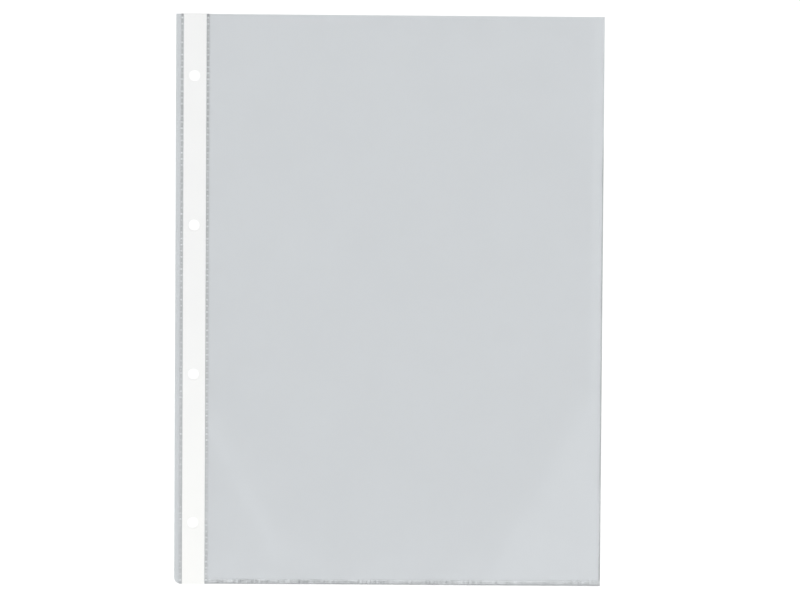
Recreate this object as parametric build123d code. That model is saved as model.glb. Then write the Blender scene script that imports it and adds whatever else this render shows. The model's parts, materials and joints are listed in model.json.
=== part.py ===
from build123d import *
import os

# Punched sheet protector of clear film for one A4 page, lying flat on its back.
# Millimetres: +X runs from the punched edge to the folded edge, +Y from the closed
# bottom to the open mouth, +Z up through the front film. The origin is the middle of
# the underside.

# Whole sheet and the stock that it is made of
sheet_width = 229.5
sheet_height = 306.0
film_thickness = 0.12
strip_thickness = 0.20
corner_radius = 3.5  # bottom corner of the punched edge

# Punched edge, from the outer edge inwards
lip_width = 2.4  # loose film outside the outer weld
weld_width = 1.7  # each of the two dotted welds beside the strip
strip_width = 12.1
strip_play = 0.05  # between the strip and the weld on each side of it
hole_edge_distance = 9.9  # from the outer edge to the middle of a hole
hole_diameter = 6.0
hole_pitch = 80.0
hole_count = 4

# Pits that the welding wheel presses into the two dotted welds
dot_pitch = 1.64
dot_diameter = 1.1
dot_sides = 6
dot_depth = 0.07
dot_end_margin = 1.5  # plain weld past the last pit

# Sealed bottom, with the short marks of the sealing bar
bottom_weld_height = 2.6
mark_pitch = 2.0
mark_width = 0.6
mark_length = 1.3
mark_depth = 0.06
mark_end_margin = 2.0
mark_edge_distance = 1.2  # from the bottom edge to the middle of a mark

# Mouth: the front film ends a little lower than the back film
mouth_setback_left = 0.6
mouth_setback_right = 2.4

# Free space where film bends beside a weld or the fold
hinge_clearance = 0.05

# Heights of the layers
thickness = 2 * film_thickness + strip_thickness
strip_bottom = film_thickness
front_bottom = film_thickness + strip_thickness

# Edges of the sheet
left = -sheet_width / 2
right = sheet_width / 2
bottom = -sheet_height / 2
top = sheet_height / 2

# Places across the punched edge
outer_weld_left = left + lip_width
outer_weld_right = outer_weld_left + weld_width
inner_weld_left = outer_weld_right + strip_width + 2 * strip_play
inner_weld_right = inner_weld_left + weld_width
hole_x = left + hole_edge_distance

# The page turns about the round inner side of the inner weld
page_nose_radius = thickness / 2
page_axis_x = inner_weld_right - page_nose_radius
pocket_left = inner_weld_right + hinge_clearance

# The mouth opens about the round upper side of the bottom weld
bottom_weld_top = bottom + bottom_weld_height
mouth_nose_radius = (thickness - film_thickness) / 2
front_film_bottom = bottom_weld_top + mouth_nose_radius + hinge_clearance

# The film folds over in a half circle along the right edge
fold_outer_radius = thickness / 2
fold_inner_radius = strip_thickness / 2
fold_left = right - fold_outer_radius
front_film_right = fold_left - hinge_clearance


def sheet_outline():
    """The whole sheet seen from the front, with its one round corner."""
    blank = Rectangle(sheet_width, sheet_height)
    corner = blank.vertices().group_by(Axis.X)[0].sort_by(Axis.Y)[0]
    return fillet(corner, corner_radius)


def band(x_from, x_to, y_from, y_to):
    """A rectangle between two pairs of edges."""
    middle = Pos((x_from + x_to) / 2, (y_from + y_to) / 2)
    return middle * Rectangle(x_to - x_from, y_to - y_from)


def sheet_of(profile, height, stock):
    """Flat stock cut to a profile and laid with its underside at a height."""
    return extrude(Pos(0, 0, height) * profile, stock)


def along_y(section, y_from, y_to):
    """A section in X and Z drawn out from one Y to another."""
    return extrude(Plane.XZ.offset(-y_to) * section, y_to - y_from)


def along_x(section, x_from, x_to):
    """A section in Y and Z drawn out from one X to another."""
    return extrude(Plane.YZ.offset(x_from) * section, x_to - x_from)


def fit_count(length, pitch):
    """How many marks at a pitch fit in a length, ends included."""
    return int(length / pitch) + 1


def dotted_row(x_middle):
    """The pits of one dotted weld, as solids to cut from it."""
    count = fit_count(sheet_height - 2 * dot_end_margin - dot_diameter, dot_pitch)
    places = Pos(x_middle, 0) * GridLocations(0, dot_pitch, 1, count)
    pit = RegularPolygon(dot_diameter / 2, dot_sides, rotation=90)
    return sheet_of(Sketch() + places * pit, thickness - dot_depth, dot_depth)


def make_outer_weld():
    """Dotted weld along the outer edge: two film lips run into one welded band."""
    section = make_face(
        Polyline(
            (left, 0),
            (outer_weld_right, 0),
            (outer_weld_right, thickness),
            (left, thickness),
            (left, front_bottom),
            (outer_weld_left, front_bottom),
            (outer_weld_left, film_thickness),
            (left, film_thickness),
            close=True,
        )
    )
    weld = along_y(section, bottom, top) & sheet_of(sheet_outline(), 0, thickness)
    return weld - dotted_row((outer_weld_left + outer_weld_right) / 2)


def make_inner_weld():
    """Dotted weld between strip and pocket, round where the page turns about it."""
    flat = Polyline(
        (page_axis_x, thickness),
        (inner_weld_left, thickness),
        (inner_weld_left, 0),
        (page_axis_x, 0),
    )
    nose = ThreePointArc(
        (page_axis_x, 0),
        (inner_weld_right, thickness / 2),
        (page_axis_x, thickness),
    )
    weld = along_y(make_face(flat + nose), bottom, top)
    return weld - dotted_row((inner_weld_left + page_axis_x) / 2)


def punched(x_from, x_to):
    """A full-height band of the punched edge with its row of round holes."""
    holes = Pos(hole_x, 0) * GridLocations(0, hole_pitch, 1, hole_count)
    blank = band(x_from, x_to, bottom, top) & sheet_outline()
    return blank - holes * Circle(hole_diameter / 2)


def make_binding_film(height):
    """Film over or under the strip, from weld to weld."""
    return sheet_of(punched(outer_weld_right, inner_weld_left), height, film_thickness)


def make_binding_strip():
    """White strip held between the two films by the welds beside it."""
    profile = punched(outer_weld_right + strip_play, inner_weld_left - strip_play)
    return sheet_of(profile, strip_bottom, strip_thickness)


def make_bottom_weld():
    """Sealed bottom: a melted round edge, sealing marks and a round upper side."""
    melted_edge = ThreePointArc(
        (bottom + thickness / 2, thickness),
        (bottom, thickness / 2),
        (bottom + thickness / 2, 0),
    )
    back_side = Polyline(
        (bottom + thickness / 2, 0),
        (bottom_weld_top, 0),
        (bottom_weld_top, film_thickness),
    )
    nose = ThreePointArc(
        (bottom_weld_top, film_thickness),
        (bottom_weld_top + mouth_nose_radius, film_thickness + mouth_nose_radius),
        (bottom_weld_top, thickness),
    )
    front_side = Line((bottom_weld_top, thickness), (bottom + thickness / 2, thickness))
    section = make_face(melted_edge + back_side + nose + front_side)
    weld = along_x(section, pocket_left, right)
    count = fit_count(right - pocket_left - 2 * mark_end_margin - mark_width, mark_pitch)
    row = Pos((pocket_left + right) / 2, bottom + mark_edge_distance)
    marks = row * GridLocations(mark_pitch, 0, count, 1) * Rectangle(mark_width, mark_length)
    return weld - sheet_of(Sketch() + marks, thickness - mark_depth, mark_depth)


def make_fold_edge():
    """Film bent round from the back to the front along the right edge."""
    middle = thickness / 2
    outer = ThreePointArc(
        (fold_left, 0),
        (right, middle),
        (fold_left, thickness),
    )
    inner = ThreePointArc(
        (fold_left, front_bottom),
        (fold_left + fold_inner_radius, middle),
        (fold_left, film_thickness),
    )
    front_end = Line((fold_left, thickness), (fold_left, front_bottom))
    back_end = Line((fold_left, film_thickness), (fold_left, 0))
    section = make_face(outer + front_end + inner + back_end)
    return along_y(section, bottom_weld_top, top)


def make_back_film():
    """Back of the pocket, from the bottom weld to the mouth."""
    profile = band(pocket_left, fold_left, bottom_weld_top, top)
    return sheet_of(profile, 0, film_thickness)


def make_front_film():
    """Front of the pocket, cut a little low and slanting at the mouth."""
    profile = make_face(
        Polyline(
            (pocket_left, front_film_bottom),
            (front_film_right, front_film_bottom),
            (front_film_right, top - mouth_setback_right),
            (pocket_left, top - mouth_setback_left),
            close=True,
        )
    )
    return sheet_of(profile, front_bottom, film_thickness)


nodes = {
    "outer_weld": make_outer_weld(),
    "inner_weld": make_inner_weld(),
    "back_binding_film": make_binding_film(0),
    "binding_strip": make_binding_strip(),
    "front_binding_film": make_binding_film(front_bottom),
    "bottom_weld": make_bottom_weld(),
    "fold_edge": make_fold_edge(),
    "back_film": make_back_film(),
    "front_film": make_front_film(),
}

os.makedirs("parts", exist_ok=True)
for name, solid in nodes.items():
    export_step(solid, f"parts/{name}.step")
    print(name, round(solid.volume, 2), "mm3")
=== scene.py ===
import json
import math
import random
from typing import NamedTuple

import bpy
from mathutils import Euler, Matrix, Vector, noise


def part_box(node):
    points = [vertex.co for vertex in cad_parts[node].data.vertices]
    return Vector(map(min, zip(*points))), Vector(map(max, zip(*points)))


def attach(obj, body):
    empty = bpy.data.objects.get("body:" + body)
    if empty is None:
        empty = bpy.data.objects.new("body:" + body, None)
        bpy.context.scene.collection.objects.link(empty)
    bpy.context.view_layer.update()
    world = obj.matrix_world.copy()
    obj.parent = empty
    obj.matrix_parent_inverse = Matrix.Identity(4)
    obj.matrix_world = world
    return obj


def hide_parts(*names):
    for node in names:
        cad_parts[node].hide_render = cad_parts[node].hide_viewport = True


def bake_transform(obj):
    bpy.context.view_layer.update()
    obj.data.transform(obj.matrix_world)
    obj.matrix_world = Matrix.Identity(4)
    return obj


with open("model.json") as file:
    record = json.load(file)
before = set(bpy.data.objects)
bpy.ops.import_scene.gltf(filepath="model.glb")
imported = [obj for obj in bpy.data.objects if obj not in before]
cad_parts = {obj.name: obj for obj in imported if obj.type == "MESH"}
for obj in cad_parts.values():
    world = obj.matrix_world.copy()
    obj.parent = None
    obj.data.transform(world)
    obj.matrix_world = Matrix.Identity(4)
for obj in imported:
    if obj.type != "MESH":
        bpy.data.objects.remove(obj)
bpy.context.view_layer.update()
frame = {"record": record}

# A punched sheet protector of clear film, lying flat on a white table and seen from above.
# Metres, in the frame of the solids: +X from the punched edge to the fold, +Y from the
# sealed bottom to the open mouth, +Z up through the front film.

MM = 0.001


def low(node):
    """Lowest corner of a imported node."""
    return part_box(node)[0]


def high(node):
    """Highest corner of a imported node."""
    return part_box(node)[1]


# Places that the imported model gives
LEFT = low("outer_weld").x
RIGHT = high("fold_edge").x
BOTTOM = low("outer_weld").y
TOP = high("outer_weld").y
STACK = high("outer_weld").z  # film, strip and film
FILM = high("back_film").z  # one layer of film
FRONT_LOW = low("front_film").z  # underside of the front film beside a weld
BAND_LEFT = high("outer_weld").x  # the strip's band, between the two dotted welds
BAND_RIGHT = low("inner_weld").x
POCKET_LEFT = high("inner_weld").x
SEAL_TOP = low("back_film").y
HOLES = [mount for mount in frame["record"]["mounts"] if mount["kind"] == "bore"]
HOLE_X = HOLES[0]["pos_m"][0]
HOLE_YS = sorted(hole["pos_m"][1] for hole in HOLES)
HOLE_RADIUS = HOLES[0]["dims"]["r_mm"] * MM

# Punched edge
LIP_WIDTH = 2.4 * MM  # loose film outside the outer weld
LIP_AIR = 0.03 * MM  # between its two lips, and how much more or less that is in places
LIP_AIR_CHANGE = 0.02 * MM
LIP_WAVE = 20.0 * MM  # length of those places
OUTER_WELD_LEFT = LEFT + LIP_WIDTH
CORNER_RADIUS = 3.5 * MM  # bottom corner of the punched edge
STRIP_PLAY = 0.05 * MM  # between the strip and the weld on each side of it
STRIP_AIR = 0.008 * MM  # between the strip and the film above and below it
BINDING_TONE = 0.5  # of those two films, halfway from dark to pale

# Pits of the two dotted welds
DOT_PITCH = 1.64 * MM
DOT_RADIUS = 0.55 * MM
DOT_DEPTH = 0.12 * MM
DOT_RIM = 0.025 * MM  # film pushed up round a pit
DOT_END_MARGIN = 1.5 * MM
RIM_MARGIN = 0.3 * MM  # along each side of a weld, where no film is pushed up
PIT_FLOOR = 0.35  # its reach in pit radii, as are the next four
RIM_CREST = 1.25
RIM_REACH = 0.4
# reach of the painted light in a pit
PIT_LIGHT_FULL = 0.65
PIT_LIGHT_FADE = 0.6

# How the two dotted welds look: painted light in their pits and painted shade on the plain weld between
# them
SECOND_PIT = 0.4  # how clear every second pit is beside the others
PIT_UNEVEN = 0.7  # how much clearer and fainter pits come out
PIT_UNEVEN_LENGTH = 3.0 * MM  # length over which they do
WELD_MARGIN = 0.5 * MM  # along each side of a weld, where it runs out into plain film
WELD_FADE = 240.0 * MM  # from the top down to where a weld looks as it does at the bottom


class WeldLook(NamedTuple):
    """Tones of the parts of a dotted weld, each at the top and at the bottom.

    0 is the weld's dark tint, and 1 or more its pale one. The pale pits on the dark plain weld are
    painted light and shade of the pressed pits.
    """

    plain: tuple
    pits: tuple
    strip_side: tuple
    free_side: tuple


OUTER_LOOK = WeldLook(
    plain=(0.2, 0.42),
    pits=(0.85, 0.7),
    strip_side=(0.95, 0.4),
    free_side=(0.9, 0.5),
)
INNER_LOOK = WeldLook(
    plain=(0.08, 0.36),
    pits=(1.15, 1.25),
    strip_side=(0.65, 0.4),
    free_side=(0.8, 0.5),
)

# Sealed bottom: shares are of its height, from its edge up
BEAD_SHARE = 0.22  # melted bead along the edge
BEAD_CROWN = 0.5  # how much of the bead has its full height
BEAD_HEIGHT = 0.5 * MM
BEAD_ROUNDING = 0.45  # of its height, above and below
FUSED_HEIGHT = 0.3 * MM  # the two layers pressed into one
FUSED_RISE = 0.4  # upper share, where the film rises to the pocket's thickness
EDGE_WAVE = 0.16 * MM  # how unevenly the bead has melted
EDGE_FINE = 2.6 * MM  # lengths of its short and of its long waves
EDGE_COARSE = 17.0 * MM
EDGE_FINE_SHARE = 0.6  # how much of the unevenness is short waves
SEAL_DROOP = 0.35 * MM  # how far the sealed edge sinks towards the fold
SEAL_DROOP_LENGTH = 170.0 * MM
STREAK_GAP = 1.3 * MM  # mean distance of the sealing bar's marks
STREAK_GAP_SPREAD = 0.6  # how far a distance is from the mean at most, as a share of it
STREAK_NARROW = 0.3 * MM  # half widths of the narrowest and of the widest mark
STREAK_WIDE = 0.8 * MM
STREAK_DEPTH = 0.07 * MM
STREAK_MIDDLE = 0.55  # where a mark is deepest, how far from there it still is, and its runout
STREAK_FULL = 0.1
STREAK_RUNOUT = 0.5
STREAK_FADE = 0.6  # how much weaker the marks are at the fold
STREAK_SHADE = 0.75  # how much painted shade a full pressed mark has, or painted light a full ridge
DASH_TONE = 0.45  # the same for the dashes along the seal
DASH_LENGTH = 4.0 * MM
DASH_WIDTH = 0.7 * MM
SEAL_PALE = 0.72  # how pale the fused film looks
SEAL_LINE = 0.4  # how much darker a line along its upper part is
SEAL_LINE_MIDDLE = 0.7
SEAL_LINE_REACH = 0.25
BLOB_TONE = 0.25  # how pale the blobs along the dark bead look at most
BLOB_SIZE = 3.1 * MM

# How the two pocket films lie
CLING_AIR = 0.02 * MM  # where they cling together
WELD_RISE = 9.0 * MM  # from a weld to where they cling
FOLD_AIR = 0.42 * MM  # inside the fold
FOLD_OPENING = 25.0 * MM  # from the seal up to where the fold is that round
FOLD_UNEVEN = 0.25  # how much rounder and flatter it is in places
FOLD_WAVE = 55.0 * MM  # length of those places
FOLD_RISE = 8.5 * MM  # from the fold to where they cling
FOLD_STRAIGHT = 1.0 * MM  # how much of the sheet's edge the fold piece takes
CORNER_AIR = 0.28 * MM  # under the lifted lower right corner
CORNER_LINE = ((106.0 * MM, -50.0 * MM), (52.0 * MM, -148.0 * MM))  # where that starts to lift
CORNER_STEP = 5.0 * MM  # most of the lift is within this of that line
CORNER_STEP_SHARE = 0.75
CORNER_RISE = 45.0 * MM  # the rest of it is over this, from a little outside the line
CORNER_SKIRT = 14.0 * MM
CREASE_AIR = 0.12 * MM  # under the pale crease at the lower left
CREASE_LINE = ((-98.0 * MM, -71.0 * MM), (-57.5 * MM, -147.5 * MM))  # its steep lower side
CREASE_STEP = 1.5 * MM
CREASE_FADE = 15.0 * MM  # its long upper side
CREASE_MIDDLE = 0.4  # shares of that line: its highest place, how far it stays so, and its runout
CREASE_FULL = 0.35
CREASE_RUNOUT = 0.25
PUCKER_AIR = 0.06 * MM  # under the soft puckers above the seal
PUCKER_PITCH = 43.9 * MM
PUCKER_FIRST = -86.2 * MM
PUCKER_RISE = 9.0 * MM  # from the seal to their middles
PUCKER_MEAN = 0.7  # their mean height, and how much higher and lower they are in places
PUCKER_UNEVEN = 0.6
PUCKER_WAVE = 60.0 * MM
RIPPLE_AIR = 0.05 * MM  # in the wide ripples all over the pocket
RIPPLE_ACROSS = 45.0 * MM
RIPPLE_ALONG = 70.0 * MM
MOUTH_SETBACK_LEFT = 0.6 * MM  # front film's cut edge below the back film's
MOUTH_SETBACK_RIGHT = 2.4 * MM
MOUTH_TURN = 7.0 * MM  # where that edge turns up into the fold
HINGE_STRIP = 12.0 * MM  # film there that is a piece of its own

# Where the pocket's pieces meet
HINGE_END = POCKET_LEFT + HINGE_STRIP
FOLD_JOIN = RIGHT - FOLD_STRAIGHT
MOUTH_MIDDLE = (HINGE_END + FOLD_JOIN) / 2

# Painted light on the back film where the front film stands off it, and paler towards its ends: how
# much paler it looks there, of the way from its dark tint to its pale one
PALE_FOLD = 0.8
PALE_FOLD_BAND = 5.0 * MM
PALE_FOLD_FADE = 2.0 * MM
PALE_CORNER = 0.95
PALE_CREASE = 0.9
PALE_PUCKER = 0.6
PALE_BOTTOM = 0.3
PALE_BOTTOM_RISE = 45.0 * MM
PALE_SEAL = 0.6
PALE_SEAL_RISE = 3.0 * MM
PALE_TOP = 0.3
PALE_TOP_DROP = 220.0 * MM

# Painted shade: dark lines along the film's edges
CUT_LINE = 0.5 * MM  # at the mouth, along the front film's cut edge
CUT_SHADE = 0.6
FOLD_LINE = 0.5 * MM  # along the fold
FOLD_LINE_TOP = 92.0 * MM  # above this the fold is too round to show more than a faint line of painted shade
FOLD_LINE_FADE = 20.0 * MM
FOLD_LINE_FAINT = 0.25

# Finish of the clear film
GLOSS_METALLIC = 0.6
GLOSS_COLOUR = (0.94, 0.96, 0.98)
GLOSS_PATCH = 7.0 * MM  # size of smoother and rougher patches, and how much they differ
GLOSS_SPREAD = 0.4
GLOSS_POWER = 5  # how suddenly a face turns back more light as it is seen more slanted
FILM_GRAIN = 1.2 * MM
FILM_GRAIN_HEIGHT = 0.0008 * MM
FILM_CLOUD = 18.0 * MM

# Finish of the white strip, which is whiter from a place down
STRIP_FADE_FROM = 15.0 * MM
STRIP_FADE = 150.0 * MM
STRIP_UPPER_WHITE = (0.762, 0.764, 0.76)
STRIP_LOWER_WHITE = (0.797, 0.798, 0.782)
STRIP_CLOUD = 5.0 * MM
STRIP_MOTTLE = 0.08
STRIP_PATCH = 0.6 * MM  # size of smoother and rougher patches, and how rough those are
STRIP_SMOOTHER = 0.45
STRIP_ROUGHER = 0.6
STRIP_GRAIN = 0.25 * MM
STRIP_GRAIN_HEIGHT = 0.004 * MM
STRIP_IOR = 1.49

# Range that most of a noise texture's values are in
NOISE_LOW = 0.3
NOISE_HIGH = 0.7

# How finely the meshes are cut
PIT_LOOPS = (PIT_FLOOR, 0.65, 1.0, RIM_CREST)  # loops of points round a pit, in pit radii
PIT_SIDE = 4  # faces along each side of a pit's cell
WELD_END_ROWS = 4
HOLE_LOOPS = (1.0, 1.04, 1.25)  # loops of points round a hole, in hole radii
HOLE_SIDE = 12  # faces along each side of a hole's cell
BAND_STEP = 3.0 * MM  # along the punched edge, between the holes
LIP_STEP = 0.2 * MM
FILM_ROWS = 100
FILM_STEP = 2.5 * MM
HINGE_STEP = 0.4 * MM  # finer beside the inner weld and beside the fold
RISE_STEP = 0.6 * MM
FOLD_STEP = 2.5 * MM
FOLD_FACETS = 14
SEAL_STEP = 0.25 * MM
SEAL_ROWS = 14

# Table, light and camera
TABLE_AIR = 0.03 * MM  # below the sheet
TABLE_REACH = 30.0
TABLE_CLOUD = 60.0 * MM
TABLE_DARK = (0.89, 0.89, 0.89)
TABLE_PALE = (0.9, 0.9, 0.9)
ROOM_SIDES = (0.6, 0.6, 0.6)
ROOM_TOP = (1.0, 1.0, 1.0)
ROOM_STRENGTH = 1.15
LAMP_PLACE = (0.5, -2.4, 3.4)
LAMP_SIZE = 2.4
LAMP_WATTS = 55
CAMERA_PLACE = (-0.00636, 0.02343, 1.0149)
CAMERA_DEGREES = (-1.2957, -0.6826, 0.3751)  # about X, Y and Z
CAMERA_LENS = 85  # millimetres, as is the next
CAMERA_SENSOR = 36
LIGHT_LAYERS = 32  # how many layers of film light crosses at most


def fall(share):
    """1 at a held edge, easing to 0 at a share of 1 and beyond."""
    rest = 1 - min(max(share, 0.0), 1.0)
    return rest * rest * (3 - 2 * rest)


def spaced(start, end, step):
    """Values from start to end, evenly spaced at about a step."""
    count = max(1, round(abs(end - start) / step))
    return [start + (end - start) * i / count for i in range(count + 1)]


def ripple(x, y, across, along, seed):
    """Smooth noise from -1 to 1 whose waves have about that size in X and Y."""
    return noise.noise(Vector((x / across, y / along, seed)))


def ripple_x(x, size, seed):
    """The same along X alone."""
    return ripple(x, 0, size, size, seed)


def ripple_y(y, size, seed):
    """The same along Y alone."""
    return ripple(0, y, size, size, seed)


class Plan:
    """Points and faces of a flat shape. Points in the same place are one point."""

    def __init__(self):
        self.points = []
        self.faces = []
        self.index = {}

    def point(self, x, y):
        """Number of the point in a place."""
        key = (round(x, 8), round(y, 8))
        if key not in self.index:
            self.index[key] = len(self.points)
            self.points.append((x, y))
        return self.index[key]

    def face(self, *corners):
        """One face, by the places of its corners."""
        self.faces.append([self.point(x, y) for x, y in corners])

    def grid(self, columns, shares, low_edge, high_edge):
        """Faces between two edges that are functions of X, cut at shares of the way."""
        for x0, x1 in zip(columns, columns[1:]):
            for s0, s1 in zip(shares, shares[1:]):
                corners = ((x0, s0), (x1, s0), (x1, s1), (x0, s1))
                self.face(*[(x, low_edge(x) + (high_edge(x) - low_edge(x)) * s) for x, s in corners])

    def ring(self, inner, outer):
        """Faces between two closed loops of as many points."""
        for i in range(len(inner)):
            self.face(inner[i - 1], outer[i - 1], outer[i], inner[i])


def flat(y):
    """An edge that runs straight across at one Y."""
    return lambda x: y


def even(value):
    """A height or tone that is the same all over."""
    return lambda x, y: value


def circle(x, y, radius, count):
    """Loop of points round a circle, from its lower left quarter."""
    angles = [math.pi * (2 * i / count - 0.75) for i in range(count)]
    return [(x + radius * math.cos(a), y + radius * math.sin(a)) for a in angles]


def rectangle(x0, x1, y0, y1, per_side):
    """Loop of points round a rectangle, from its lower left corner."""
    loop = []
    steps = [i / per_side for i in range(per_side)]
    loop += [(x0 + (x1 - x0) * s, y0) for s in steps]
    loop += [(x1, y0 + (y1 - y0) * s) for s in steps]
    loop += [(x1 - (x1 - x0) * s, y1) for s in steps]
    loop += [(x0, y1 - (y1 - y0) * s) for s in steps]
    return loop


def corner_edge(x):
    """Y of the sheet's bottom edge, with the round corner of the punched edge."""
    inset = CORNER_RADIUS - min(x - LEFT, CORNER_RADIUS)
    return BOTTOM + CORNER_RADIUS - math.sqrt(CORNER_RADIUS**2 - inset**2)


def dot_rows():
    """Y of each pit in a dotted weld."""
    room = TOP - BOTTOM - 2 * DOT_END_MARGIN - 2 * DOT_RADIUS
    count = int(room / DOT_PITCH) + 1
    return [(i - (count - 1) / 2) * DOT_PITCH for i in range(count)]


def dotted_plan(x_from, x_to):
    """A weld's band with a cell for each pit, and plain ends."""
    plan = Plan()
    rows = dot_rows()
    middle = (x_from + x_to) / 2
    half_cell = DOT_PITCH / 2
    columns = spaced(x_from, x_to, (x_to - x_from) / PIT_SIDE)
    end_shares = spaced(0, 1, 1 / WELD_END_ROWS)
    plan.grid(columns, end_shares, corner_edge, flat(rows[0] - half_cell))
    plan.grid(columns, end_shares, flat(rows[-1] + half_cell), flat(TOP))
    for y in rows:
        loops = [circle(middle, y, DOT_RADIUS * share, 4 * PIT_SIDE) for share in PIT_LOOPS]
        loops.append(rectangle(x_from, x_to, y - half_cell, y + half_cell, PIT_SIDE))
        plan.face(*loops[0])
        for inner, outer in zip(loops, loops[1:]):
            plan.ring(inner, outer)
    return plan


def punched_plan(x_from, x_to):
    """A band of the punched edge with its row of round holes."""
    plan = Plan()
    half_cell = (x_to - x_from) / 2
    columns = spaced(x_from, x_to, 2 * half_cell / HOLE_SIDE)
    ends = [BOTTOM]
    for y in HOLE_YS:
        loops = [circle(HOLE_X, y, HOLE_RADIUS * share, 4 * HOLE_SIDE) for share in HOLE_LOOPS]
        loops.append(rectangle(x_from, x_to, y - half_cell, y + half_cell, HOLE_SIDE))
        for inner, outer in zip(loops, loops[1:]):
            plan.ring(inner, outer)
        ends += [y - half_cell, y + half_cell]
    ends.append(TOP)
    for y0, y1 in zip(ends[::2], ends[1::2]):
        plan.grid(columns, spaced(0, 1, BAND_STEP / (y1 - y0)), flat(y0), flat(y1))
    return plan


def add_piece(name, vertices, faces, sharp, tones, material):
    """A smooth mesh with its sharp edges and, at each point, a tone for its material."""
    mesh = bpy.data.meshes.new(name)
    mesh.from_pydata(vertices, [], faces)
    mesh.update()
    mesh.polygons.foreach_set("use_smooth", [True] * len(mesh.polygons))
    pairs = {tuple(sorted(pair)) for pair in sharp}
    for edge in mesh.edges:
        edge.use_edge_sharp = tuple(sorted(edge.vertices)) in pairs
    tone = mesh.attributes.new("tone", "FLOAT", "POINT")
    tone.data.foreach_set("value", tones)
    mesh.materials.append(material)
    piece = bpy.data.objects.new(name, mesh)
    bpy.context.scene.collection.objects.link(piece)
    return piece


def open_edges(faces):
    """Edges that only one face has, in that face's direction."""
    directed = {(a, b) for face in faces for a, b in zip(face, face[1:] + face[:1])}
    return [(a, b) for a, b in directed if (b, a) not in directed]


def sheet_piece(name, plan, under, over, tone, material):
    """A closed piece between two heights over a flat plan."""
    count = len(plan.points)
    vertices = [(x, y, under(x, y)) for x, y in plan.points]
    vertices += [(x, y, over(x, y)) for x, y in plan.points]
    lower = [face[::-1] for face in plan.faces]
    upper = [[i + count for i in face] for face in plan.faces]
    rim = sorted(open_edges(plan.faces))
    walls = [[a, b, b + count, a + count] for a, b in rim]
    sharp = rim + [(a + count, b + count) for a, b in rim]
    tones = [tone(x, y) for x, y in plan.points] * 2
    return add_piece(name, vertices, lower + upper + walls, sharp, tones, material)


def fold_air(y):
    """Air inside the fold: it is flat at the bottom seal and rounder above."""
    held = FRONT_LOW - FILM
    free = 1 - fall((y - SEAL_TOP) / FOLD_OPENING)
    uneven = 1 + FOLD_UNEVEN * ripple_y(y, FOLD_WAVE, seed=7.3)
    return held + (FOLD_AIR - held) * free * uneven


def corner_lift(x, y):
    """How far a point is inside the lower right corner that stands off the back film."""
    start, end = (Vector(place) for place in CORNER_LINE)
    across = (end - start).orthogonal().normalized()
    inside = (Vector((x, y)) - start).dot(across)
    step = CORNER_STEP_SHARE * (1 - fall(inside / CORNER_STEP))
    return step + (1 - CORNER_STEP_SHARE) * (1 - fall((inside + CORNER_SKIRT) / CORNER_RISE))


def crease_lift(x, y):
    """How near a point is to the ridge of the crease that runs down from the inner weld."""
    start, end = (Vector(place) for place in CREASE_LINE)
    along = (end - start).normalized()
    offset = Vector((x, y)) - start
    travel = offset.dot(along) / (end - start).length
    aside = offset.dot(along.orthogonal())
    ridge = (1 - fall(aside / CREASE_STEP)) * fall(aside / CREASE_FADE)
    return ridge * fall((abs(travel - CREASE_MIDDLE) - CREASE_FULL) / CREASE_RUNOUT)


def pucker_lift(x, y):
    """How near a point is to the top of one of the soft puckers above the seal."""
    wave = math.cos(2 * math.pi * (x - PUCKER_FIRST) / PUCKER_PITCH)
    uneven = PUCKER_MEAN + PUCKER_UNEVEN * ripple_x(x, PUCKER_WAVE, seed=9.1)
    return uneven * max(0.0, wave) * fall(abs(y - SEAL_TOP - PUCKER_RISE) / PUCKER_RISE)


def pocket_air(x, y):
    """Air between the two pocket films: least where they cling together."""
    held = FRONT_LOW - FILM
    beside_weld = fall((x - POCKET_LEFT) / WELD_RISE)
    above_seal = fall((y - SEAL_TOP) / WELD_RISE)
    beside_fold = fall((FOLD_JOIN - x) / FOLD_RISE)
    at_welds = 1 - (1 - beside_weld) * (1 - above_seal)
    free = CORNER_AIR * corner_lift(x, y)
    free += CREASE_AIR * crease_lift(x, y)
    free += PUCKER_AIR * pucker_lift(x, y)
    free += RIPPLE_AIR * (1 + ripple(x, y, RIPPLE_ACROSS, RIPPLE_ALONG, seed=2.1)) / 2
    air = CLING_AIR + (held - CLING_AIR) * at_welds + free * (1 - at_welds)
    return air + (fold_air(y) - air) * beside_fold


def front_under(x, y):
    """Height of the front film's underside."""
    return FILM + pocket_air(x, y)


def front_over(x, y):
    """Height of the front film's upper side."""
    return front_under(x, y) + FILM


def mouth_edge(x):
    """Y of the front film's cut edge, which slants and turns up into the fold."""
    share = (x - POCKET_LEFT) / (FOLD_JOIN - POCKET_LEFT)
    setback = MOUTH_SETBACK_LEFT + (MOUTH_SETBACK_RIGHT - MOUTH_SETBACK_LEFT) * share
    return TOP - setback * (1 - fall((FOLD_JOIN - x) / MOUTH_TURN))


def back_tone(x, y):
    """Tone of the back film: painted light where the two films stand apart, and paler towards its ends.
    """
    corner = corner_lift(x, y)
    pale = PALE_FOLD * fall((RIGHT - PALE_FOLD_BAND - x) / PALE_FOLD_FADE) * (1 - corner)
    pale += PALE_CORNER * corner
    pale += PALE_CREASE * crease_lift(x, y)
    pale += PALE_PUCKER * pucker_lift(x, y)
    pale += PALE_BOTTOM * fall((y - SEAL_TOP) / PALE_BOTTOM_RISE)
    pale += PALE_SEAL * fall((y - SEAL_TOP) / PALE_SEAL_RISE)
    pale += PALE_TOP * fall((TOP - y) / PALE_TOP_DROP)
    return min(1.0, pale)


def front_tone(x, y):
    """Tone of the front film, with painted shade in a dark line along its cut edge at the mouth."""
    return 1 - CUT_SHADE * fall((mouth_edge(x) - y) / CUT_LINE)


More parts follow.
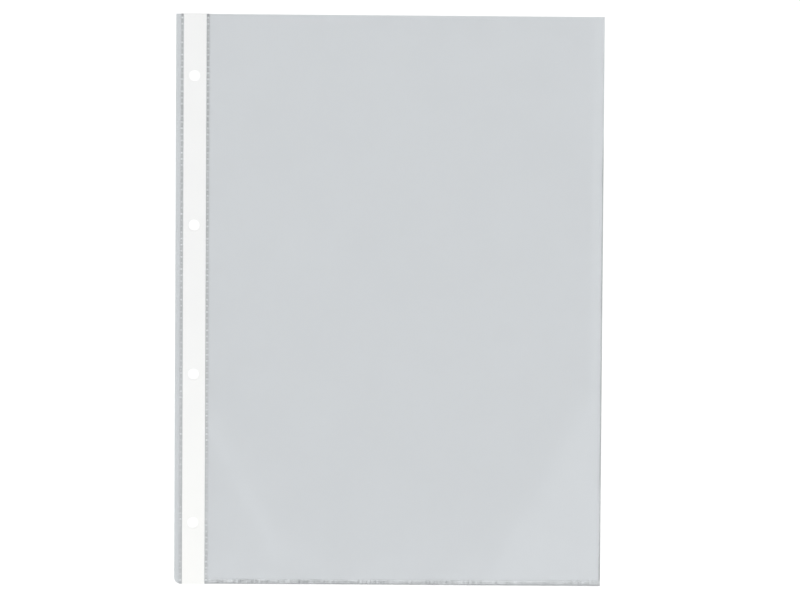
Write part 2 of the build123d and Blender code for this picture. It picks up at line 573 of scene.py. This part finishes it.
def front_piece(name, columns, material):
    """Part of the pocket's front film, from the seal to the mouth."""
    plan = Plan()
    cut = CUT_LINE / (TOP - SEAL_TOP)
    shares = spaced(0, 1 - cut, 1 / FILM_ROWS) + [1 - cut / 2, 1]
    plan.grid(columns, shares, flat(SEAL_TOP), mouth_edge)
    return sheet_piece(name, plan, front_under, front_over, front_tone, material)


def back_piece(name, columns, material):
    """The pocket's back film, flat on the table."""
    plan = Plan()
    plan.grid(columns, spaced(0, 1, 1 / FILM_ROWS), flat(SEAL_TOP), flat(TOP))
    return sheet_piece(name, plan, even(0.0), even(FILM), back_tone, material)


def fold_section(y):
    """Closed section of the fold in X and Z: round the outside, and back round the inside."""
    air = fold_air(y)
    middle = FILM + air / 2
    turn_x = RIGHT - FILM - air / 2
    angles = spaced(-math.pi / 2, math.pi / 2, math.pi / FOLD_FACETS)
    loops = []
    for radius in (air / 2 + FILM, air / 2):
        loop = [(FOLD_JOIN, middle - radius)]
        loop += [(turn_x + radius * math.cos(a), middle + radius * math.sin(a)) for a in angles]
        loop.append((FOLD_JOIN, middle + radius))
        loops.append(loop)
    return loops[0] + loops[1][::-1]


def fold_tone(x, y):
    """Tone of the fold: painted shade in a dark line along its sharp lower part, and in a faint one
    near the mouth.
    """
    sharp_part = fall(1 + (y - FOLD_LINE_TOP) / FOLD_LINE_FADE)
    darkness = FOLD_LINE_FAINT + (1 - FOLD_LINE_FAINT) * sharp_part
    return 1 - darkness * fall((RIGHT - x) / FOLD_LINE)


def fold_piece(name, material):
    """Film rolled over from the back to the front along the right edge."""
    stations = spaced(SEAL_TOP, TOP, FOLD_STEP)
    sections = [fold_section(y) for y in stations]
    vertices = [(x, y, z) for y, section in zip(stations, sections) for x, z in section]
    around = len(sections[0])
    half = around // 2
    last = (len(stations) - 1) * around
    faces = []
    sharp = []
    for base in range(0, last, around):
        above = base + around
        for i in range(around):
            j = (i + 1) % around
            faces.append([above + i, above + j, base + j, base + i])
        sharp += [(base + i, above + i) for i in (0, half - 1, half, around - 1)]
    for i in range(half - 1):
        cap = [i, i + 1, around - 2 - i, around - 1 - i]
        faces.append(cap)
        faces.append([last + corner for corner in reversed(cap)])
    for base in (0, last):
        sharp += [(base + i, base + (i + 1) % around) for i in range(around)]
    tones = [fold_tone(x, y) for x, y, z in vertices]
    return add_piece(name, vertices, faces, sharp, tones, material)


def lip_piece(name, raised, tone, material):
    """Loose film outside the outer weld: the back lip lies flat, the front one comes down to it."""
    plan = Plan()
    columns = spaced(LEFT, OUTER_WELD_LEFT, LIP_STEP)
    plan.grid(columns, spaced(0, 1, 1 / FILM_ROWS), corner_edge, flat(TOP))

    def under(x, y):
        if not raised:
            return 0.0
        closing = fall((OUTER_WELD_LEFT - x) / LIP_WIDTH)
        gap = LIP_AIR + LIP_AIR_CHANGE * ripple(x, y, across=1.0, along=LIP_WAVE, seed=5.2)
        return FILM + gap + (FRONT_LOW - FILM - gap) * closing

    def over(x, y):
        return under(x, y) + FILM

    return sheet_piece(name, plan, under, over, even(tone), material)


def nearest_pit(y):
    """Number of the pit nearest to a Y, counted from the bottom, and its own Y."""
    rows = dot_rows()
    number = min(max(round((y - rows[0]) / DOT_PITCH), 0), len(rows) - 1)
    return number, rows[number]


def pit_distance(x, y, middle):
    """Distance from the nearest pit's centre, in pit radii."""
    return math.hypot(x - middle, y - nearest_pit(y)[1]) / DOT_RADIUS


def weld_piece(name, strip_x, free_x, look, material):
    """One of the two dotted welds, between its two sides, with a pit in each cell."""
    x_from, x_to = sorted((strip_x, free_x))
    middle = (x_from + x_to) / 2

    def over(x, y):
        away = pit_distance(x, y, middle)
        pit = fall((away - PIT_FLOOR) / (1 - PIT_FLOOR))
        rim = fall(abs(away - RIM_CREST) / RIM_REACH)
        edge = fall(min(x - x_from, x_to - x) / RIM_MARGIN)
        return STACK - DOT_DEPTH * pit + DOT_RIM * rim * (1 - edge) - DOT_RIM

    def tone(x, y):
        # Painted light in the pits and painted shade on the plain weld between them
        upper = fall((TOP - y) / WELD_FADE)
        plain, pit, strip_side, free_side = (bottom + (top - bottom) * upper for top, bottom in look)
        number, pit_y = nearest_pit(y)
        pit *= 1 + PIT_UNEVEN * ripple(middle, pit_y, across=MM, along=PIT_UNEVEN_LENGTH, seed=3.3)
        pit *= SECOND_PIT if number % 2 else 1.0
        pit *= fall((pit_distance(x, y, middle) - PIT_LIGHT_FULL) / PIT_LIGHT_FADE)
        strip_side *= fall(abs(x - strip_x) / WELD_MARGIN)
        free_side *= fall(abs(x - free_x) / WELD_MARGIN)
        return plain + (1 - plain) * min(1.0, max(pit, strip_side, free_side))

    return sheet_piece(name, dotted_plan(x_from, x_to), even(0.0), over, tone, material)


def binding_film_piece(name, height, material):
    """Film above or below the strip, from weld to weld."""
    plan = punched_plan(BAND_LEFT, BAND_RIGHT)
    return sheet_piece(name, plan, even(height), even(height + FILM), even(BINDING_TONE), material)


def strip_tone(x, y):
    """Tone of the white strip, which is whiter towards the bottom."""
    return min(max((STRIP_FADE_FROM - y) / STRIP_FADE, 0.0), 1.0)


def strip_piece(name, material):
    """The white strip between the two films."""
    plan = punched_plan(BAND_LEFT + STRIP_PLAY, BAND_RIGHT - STRIP_PLAY)
    under = even(FILM + STRIP_AIR)
    over = even(FRONT_LOW - STRIP_AIR)
    return sheet_piece(name, plan, under, over, strip_tone, material)


def seal_edge(x):
    """Y of the sealed bottom's edge, which has melted unevenly and sinks towards the fold."""
    fine = ripple_x(x, EDGE_FINE, seed=1.7)
    coarse = ripple_x(x, EDGE_COARSE, seed=8.4)
    uneven = EDGE_FINE_SHARE * fine + (1 - EDGE_FINE_SHARE) * coarse
    droop = SEAL_DROOP * fall((RIGHT - x) / SEAL_DROOP_LENGTH)
    return BOTTOM - droop + EDGE_WAVE * (1 + uneven) / 2


def seal_share(x, y):
    """How far up the seal a point is, from 0 at its edge to 1 where the pocket starts."""
    edge = seal_edge(x)
    return (y - edge) / (SEAL_TOP - edge)


def bead_crown(share):
    """1 on the melted bead along the seal's edge, easing to 0 on the fused film."""
    return fall((share - BEAD_CROWN * BEAD_SHARE) / BEAD_SHARE)


def bead_rounding(share):
    """How much the bead's round edge takes off above and below."""
    into = min(share / BEAD_SHARE, 1.0)
    return (1 - math.sqrt(1 - (1 - into) ** 2)) * BEAD_HEIGHT * BEAD_ROUNDING


def fading(x):
    """How clear the sealing bar's marks are, from 1 at the inner weld to less at the fold."""
    return 1 - STREAK_FADE * (x - POCKET_LEFT) / (RIGHT - POCKET_LEFT)


def seal_streaks():
    """Place, half width and depth of each mark that the sealing bar has left, as pits and ridges."""
    rng = random.Random(41)
    streaks = []
    x = POCKET_LEFT + STREAK_GAP
    while x < RIGHT - STREAK_GAP:
        half_width = rng.uniform(STREAK_NARROW, STREAK_WIDE)
        depth = fading(x) * rng.uniform(-1, 1)
        streaks.append((x, half_width, depth))
        x += STREAK_GAP * rng.uniform(1 - STREAK_GAP_SPREAD, 1 + STREAK_GAP_SPREAD)
    return streaks


def seal_piece(name, material):
    """Sealed bottom: a melted bead along the edge, fused film with marks above it."""
    streaks = seal_streaks()

    def marking(x, y):
        near = [streak for streak in streaks if abs(x - streak[0]) < streak[1]]
        total = sum(depth * fall(abs(x - at) / half_width) for at, half_width, depth in near)
        return total * fall((abs(seal_share(x, y) - STREAK_MIDDLE) - STREAK_FULL) / STREAK_RUNOUT)

    def under(x, y):
        return bead_rounding(seal_share(x, y))

    def over(x, y):
        share = seal_share(x, y)
        bead = (BEAD_HEIGHT - FUSED_HEIGHT) * bead_crown(share)
        rise = (STACK - FUSED_HEIGHT) * fall((1 - share) / FUSED_RISE)
        return FUSED_HEIGHT + bead + rise - bead_rounding(share) - STREAK_DEPTH * marking(x, y)

    def tone(x, y):
        share = seal_share(x, y)
        dash = DASH_TONE * ripple(x, y, across=DASH_LENGTH, along=DASH_WIDTH, seed=4.4)
        line = SEAL_LINE * fall(abs(share - SEAL_LINE_MIDDLE) / SEAL_LINE_REACH)
        # Painted shade in the pressed marks and painted light on their ridges
        fused = SEAL_PALE + (dash - line) * fading(x) - STREAK_SHADE * marking(x, y)
        blob = BLOB_TONE * max(0.0, ripple_x(x, BLOB_SIZE, seed=6.6))
        return min(1.0, max(0.0, fused + (blob - fused) * bead_crown(share)))

    plan = Plan()
    columns = spaced(POCKET_LEFT, RIGHT, SEAL_STEP)
    plan.grid(columns, spaced(0, 1, 1 / SEAL_ROWS), seal_edge, flat(SEAL_TOP))
    return sheet_piece(name, plan, under, over, tone, material)


def shader_of(name):
    """A new material, its nodes and links, and its shader."""
    material = bpy.data.materials.new(name)
    material.use_nodes = True
    nodes, links = material.node_tree.nodes, material.node_tree.links
    return material, nodes, links, nodes["Principled BSDF"]


def add_noise(nodes, links, size, detail=2.0):
    """Noise whose grains are about that many metres across, in the part's own frame."""
    place = nodes.new("ShaderNodeTexCoord")
    grain = nodes.new("ShaderNodeTexNoise")
    grain.inputs["Scale"].default_value = 1 / size
    grain.inputs["Detail"].default_value = detail
    links.new(place.outputs["Object"], grain.inputs["Vector"])
    return grain.outputs["Fac"]


def remap(nodes, links, value, low_value, high_value):
    """Noise spread over a range of values."""
    spread = nodes.new("ShaderNodeMapRange")
    spread.inputs["From Min"].default_value = NOISE_LOW
    spread.inputs["From Max"].default_value = NOISE_HIGH
    spread.inputs["To Min"].default_value = low_value
    spread.inputs["To Max"].default_value = high_value
    links.new(value, spread.inputs["Value"])
    return spread.outputs["Result"]


def add_bump(nodes, links, shader, size, height):
    """Fine relief with grains of that size and height."""
    relief = nodes.new("ShaderNodeBump")
    relief.inputs["Strength"].default_value = 1.0
    relief.inputs["Distance"].default_value = height
    links.new(add_noise(nodes, links, size), relief.inputs["Height"])
    links.new(relief.outputs["Normal"], shader.inputs["Normal"])


def blend_colours(nodes, links, share, dark, pale):
    """Colour between two, by a share."""
    blend = nodes.new("ShaderNodeMix")
    blend.data_type = "RGBA"
    blend.inputs["A"].default_value = (*dark, 1)
    blend.inputs["B"].default_value = (*pale, 1)
    links.new(share, blend.inputs["Factor"])
    return blend.outputs["Result"]


def clouded_tone(nodes, links, size, mottle):
    """The piece's tone with clouds of that size, that much darker and paler."""
    tone = nodes.new("ShaderNodeAttribute")
    tone.attribute_name = "tone"
    clouded = nodes.new("ShaderNodeMath")
    clouded.operation = "ADD"
    clouded.use_clamp = True
    clouds = remap(nodes, links, add_noise(nodes, links, size, detail=0.0), -mottle, mottle)
    links.new(tone.outputs["Fac"], clouded.inputs[0])
    links.new(clouds, clouded.inputs[1])
    return clouded.outputs["Value"]


def slanted_gloss(nodes, links, square_on):
    """Share of light that a face turns back: a given one seen square on, and more seen slanted."""
    slant = nodes.new("ShaderNodeLayerWeight")
    steep = nodes.new("ShaderNodeMath")
    steep.operation = "POWER"
    steep.inputs[1].default_value = GLOSS_POWER
    links.new(slant.outputs["Facing"], steep.inputs[0])
    turned_back = nodes.new("ShaderNodeMapRange")
    turned_back.inputs["To Min"].default_value = square_on
    links.new(steep.outputs["Value"], turned_back.inputs["Value"])
    return turned_back.outputs["Result"]


def clear_plastic(name, dark, pale, mottle, gloss, roughness):
    """Clear film: see-through with a grey tint from dark to pale by the piece's tone, under a gloss.
    The grey is painted shade, since such film takes up little light itself.

    gloss is the share of light that a face turns back where it is seen square on.
    """
    material, nodes, links, shader = shader_of(name)
    shader.inputs["Metallic"].default_value = GLOSS_METALLIC
    shader.inputs["Base Color"].default_value = (*GLOSS_COLOUR, 1)
    smoother = (1 - GLOSS_SPREAD) * roughness
    rougher = (1 + GLOSS_SPREAD) * roughness
    patches = remap(nodes, links, add_noise(nodes, links, GLOSS_PATCH), smoother, rougher)
    links.new(patches, shader.inputs["Roughness"])
    add_bump(nodes, links, shader, FILM_GRAIN, FILM_GRAIN_HEIGHT)

    # Grey painted shade, picked between the dark and the pale tint by the piece's tone
    tint = blend_colours(nodes, links, clouded_tone(nodes, links, FILM_CLOUD, mottle), dark, pale)
    clear = nodes.new("ShaderNodeBsdfTransparent")
    links.new(tint, clear.inputs["Color"])

    surface = nodes.new("ShaderNodeMixShader")
    links.new(slanted_gloss(nodes, links, gloss), surface.inputs["Fac"])
    links.new(clear.outputs["BSDF"], surface.inputs[1])
    links.new(shader.outputs["BSDF"], surface.inputs[2])
    links.new(surface.outputs["Shader"], nodes["Material Output"].inputs["Surface"])
    return material


def white_plastic(name):
    """Opaque white strip, satin, with a fine pressed grain."""
    material, nodes, links, shader = shader_of(name)
    shader.inputs["IOR"].default_value = STRIP_IOR
    tone = clouded_tone(nodes, links, STRIP_CLOUD, STRIP_MOTTLE)
    white = blend_colours(nodes, links, tone, STRIP_UPPER_WHITE, STRIP_LOWER_WHITE)
    links.new(white, shader.inputs["Base Color"])
    patches = remap(nodes, links, add_noise(nodes, links, STRIP_PATCH), STRIP_SMOOTHER, STRIP_ROUGHER)
    links.new(patches, shader.inputs["Roughness"])
    add_bump(nodes, links, shader, STRIP_GRAIN, STRIP_GRAIN_HEIGHT)
    return material


def table_material(name):
    """Matt white table."""
    material, nodes, links, shader = shader_of(name)
    shader.inputs["Specular IOR Level"].default_value = 0.0
    shader.inputs["Roughness"].default_value = 1.0
    mottled = remap(nodes, links, add_noise(nodes, links, TABLE_CLOUD), 0, 1)
    white = blend_colours(nodes, links, mottled, TABLE_DARK, TABLE_PALE)
    links.new(white, shader.inputs["Base Color"])
    return material


def part_materials():
    """The finish of each kind of piece, by a short name."""
    # Each film's dark and pale tints are grey painted shade, since such film takes up little light
    # itself
    return {
        "back": clear_plastic(
            "back_film",
            dark=(0.8668, 0.8753, 0.8815),
            pale=(0.8785, 0.8871, 0.8934),
            mottle=0.05,
            gloss=0.05,
            roughness=0.08,
        ),
        "front": clear_plastic(
            "front_film",
            dark=(0.965, 0.967, 0.968),
            pale=(0.998, 0.998, 0.998),
            mottle=0.03,
            gloss=0.025,
            roughness=0.08,
        ),
        "cover": clear_plastic(
            "cover_film",
            dark=(0.993, 0.993, 0.993),
            pale=(0.998, 0.998, 0.998),
            mottle=0.2,
            gloss=0.02,
            roughness=0.08,
        ),
        "weld": clear_plastic(
            "fused_film",
            dark=(0.69, 0.696, 0.7),
            pale=(0.923, 0.93, 0.934),
            mottle=0.03,
            gloss=0.08,
            roughness=0.15,
        ),
        "sealed": clear_plastic(
            "sealed_film",
            dark=(0.7, 0.707, 0.712),
            pale=(0.882, 0.889, 0.893),
            mottle=0.05,
            gloss=0.08,
            roughness=0.15,
        ),
        "folded": clear_plastic(
            "folded_film",
            dark=(0.76, 0.764, 0.767),
            pale=(0.945, 0.949, 0.952),
            mottle=0.05,
            gloss=0.05,
            roughness=0.1,
        ),
        "white": white_plastic("white_strip"),
    }


def build_binding_edge(finish):
    """Punched edge: two dotted welds, two loose lips, and the strip between two films.

    Returns the inner weld, which the pocket hangs on.
    """
    outer_weld = weld_piece("outer_weld_dotted", BAND_LEFT, OUTER_WELD_LEFT, OUTER_LOOK, finish["weld"])
    inner_weld = weld_piece("inner_weld_dotted", BAND_RIGHT, POCKET_LEFT, INNER_LOOK, finish["weld"])
    lip_back = lip_piece("lip_back", raised=False, tone=0.0, material=finish["back"])
    lip_front = lip_piece("lip_front", raised=True, tone=1.0, material=finish["front"])
    binding_back = binding_film_piece("binding_film_back", 0.0, finish["cover"])
    binding_front = binding_film_piece("binding_film_front", FRONT_LOW, finish["cover"])
    strip = strip_piece("strip_white", finish["white"])
    for piece, node, slot in (
        (outer_weld, "outer_weld", "weld"),
        (inner_weld, "inner_weld", "weld"),
        (lip_back, "outer_weld", "film"),
        (lip_front, "outer_weld", "film"),
        (binding_back, "back_binding_film", "film"),
        (binding_front, "front_binding_film", "film"),
        (strip, "binding_strip", "strip"),
    ):
        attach(piece, "binding_edge")
        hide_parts(node)

    return inner_weld


def pocket_columns():
    """X of the pocket films' columns: beside the inner weld, in the left half and in the right half."""
    rise_start = FOLD_JOIN - FOLD_RISE
    hinge = spaced(POCKET_LEFT, HINGE_END, HINGE_STEP)
    left = spaced(HINGE_END, MOUTH_MIDDLE, FILM_STEP)
    right = spaced(MOUTH_MIDDLE, rise_start, FILM_STEP)[:-1]
    right += spaced(rise_start, FOLD_JOIN, RISE_STEP)
    return hinge, left, right


def build_pocket(finish, inner_weld):
    """Pocket: its sealed bottom, back film and fold, and its front film in three stretches."""
    hinge_columns, left_columns, right_columns = pocket_columns()
    back_columns = hinge_columns[:-1] + left_columns[:-1] + right_columns
    seal = seal_piece("bottom_seal", finish["sealed"])
    pocket_back = back_piece("pocket_back", back_columns, finish["back"])
    front_hinge = front_piece("pocket_front_hinge", hinge_columns, finish["front"])
    for piece, node, slot in (
        (seal, "bottom_weld", "weld"),
        (pocket_back, "back_film", "film"),
        (front_hinge, "front_film", "film"),
    ):
        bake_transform(piece)
        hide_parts(node)

    fold = fold_piece("fold_roll", finish["folded"])
    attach(fold, "pocket")
    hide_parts("fold_edge")

    front_left = front_piece("pocket_front_left", left_columns, finish["front"])
    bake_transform(front_left)
    front_right = front_piece("pocket_front_right", right_columns, finish["front"])
    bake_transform(front_right)
    for piece in (front_left, front_right):
        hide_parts("front_film")


def build_table():
    """Plain pale floor, far wider than the view."""
    reach = TABLE_REACH
    corners = [(-reach, -reach), (reach, -reach), (reach, reach), (-reach, reach)]
    mesh = bpy.data.meshes.new("table")
    mesh.from_pydata([(x, y, -TABLE_AIR) for x, y in corners], [], [(0, 1, 2, 3)])
    mesh.materials.append(table_material("table_white"))
    table = bpy.data.objects.new("table", mesh)
    bpy.context.scene.collection.objects.link(table)


def build_room():
    """White room, brighter overhead than at the sides."""
    world = bpy.data.worlds.new("studio")
    bpy.context.scene.world = world
    world.use_nodes = True
    nodes, links = world.node_tree.nodes, world.node_tree.links
    place = nodes.new("ShaderNodeTexCoord")
    split = nodes.new("ShaderNodeSeparateXYZ")
    links.new(place.outputs["Generated"], split.inputs["Vector"])
    room = blend_colours(nodes, links, split.outputs["Z"], ROOM_SIDES, ROOM_TOP)
    links.new(room, nodes["Background"].inputs["Color"])
    nodes["Background"].inputs["Strength"].default_value = ROOM_STRENGTH
    world.cycles.sampling_method = "NONE"  # nothing in it is small and bright enough to aim rays at


def build_lamp():
    """One large soft lamp, turned to the sheet."""
    lamp = bpy.data.lights.new("softbox", "AREA")
    lamp.size = LAMP_SIZE
    lamp.energy = LAMP_WATTS
    softbox = bpy.data.objects.new("softbox", lamp)
    softbox.location = LAMP_PLACE
    softbox.rotation_euler = (-softbox.location).to_track_quat("-Z", "Y").to_euler()
    bpy.context.scene.collection.objects.link(softbox)


def build_camera():
    """Straight above the sheet, turned and tipped by the little that the photograph shows."""
    camera = bpy.data.objects.new("camera", bpy.data.cameras.new("camera"))
    camera.data.lens = CAMERA_LENS
    camera.data.sensor_width = CAMERA_SENSOR
    camera.location = CAMERA_PLACE
    camera.rotation_euler = Euler([math.radians(angle) for angle in CAMERA_DEGREES], "XYZ")
    bpy.context.scene.collection.objects.link(camera)
    bpy.context.scene.camera = camera


finishes = part_materials()
build_pocket(finishes, build_binding_edge(finishes))
build_table()
build_room()
build_lamp()
build_camera()
bpy.context.scene.view_settings.view_transform = "Standard"
bpy.context.scene.cycles.transparent_max_bounces = LIGHT_LAYERS
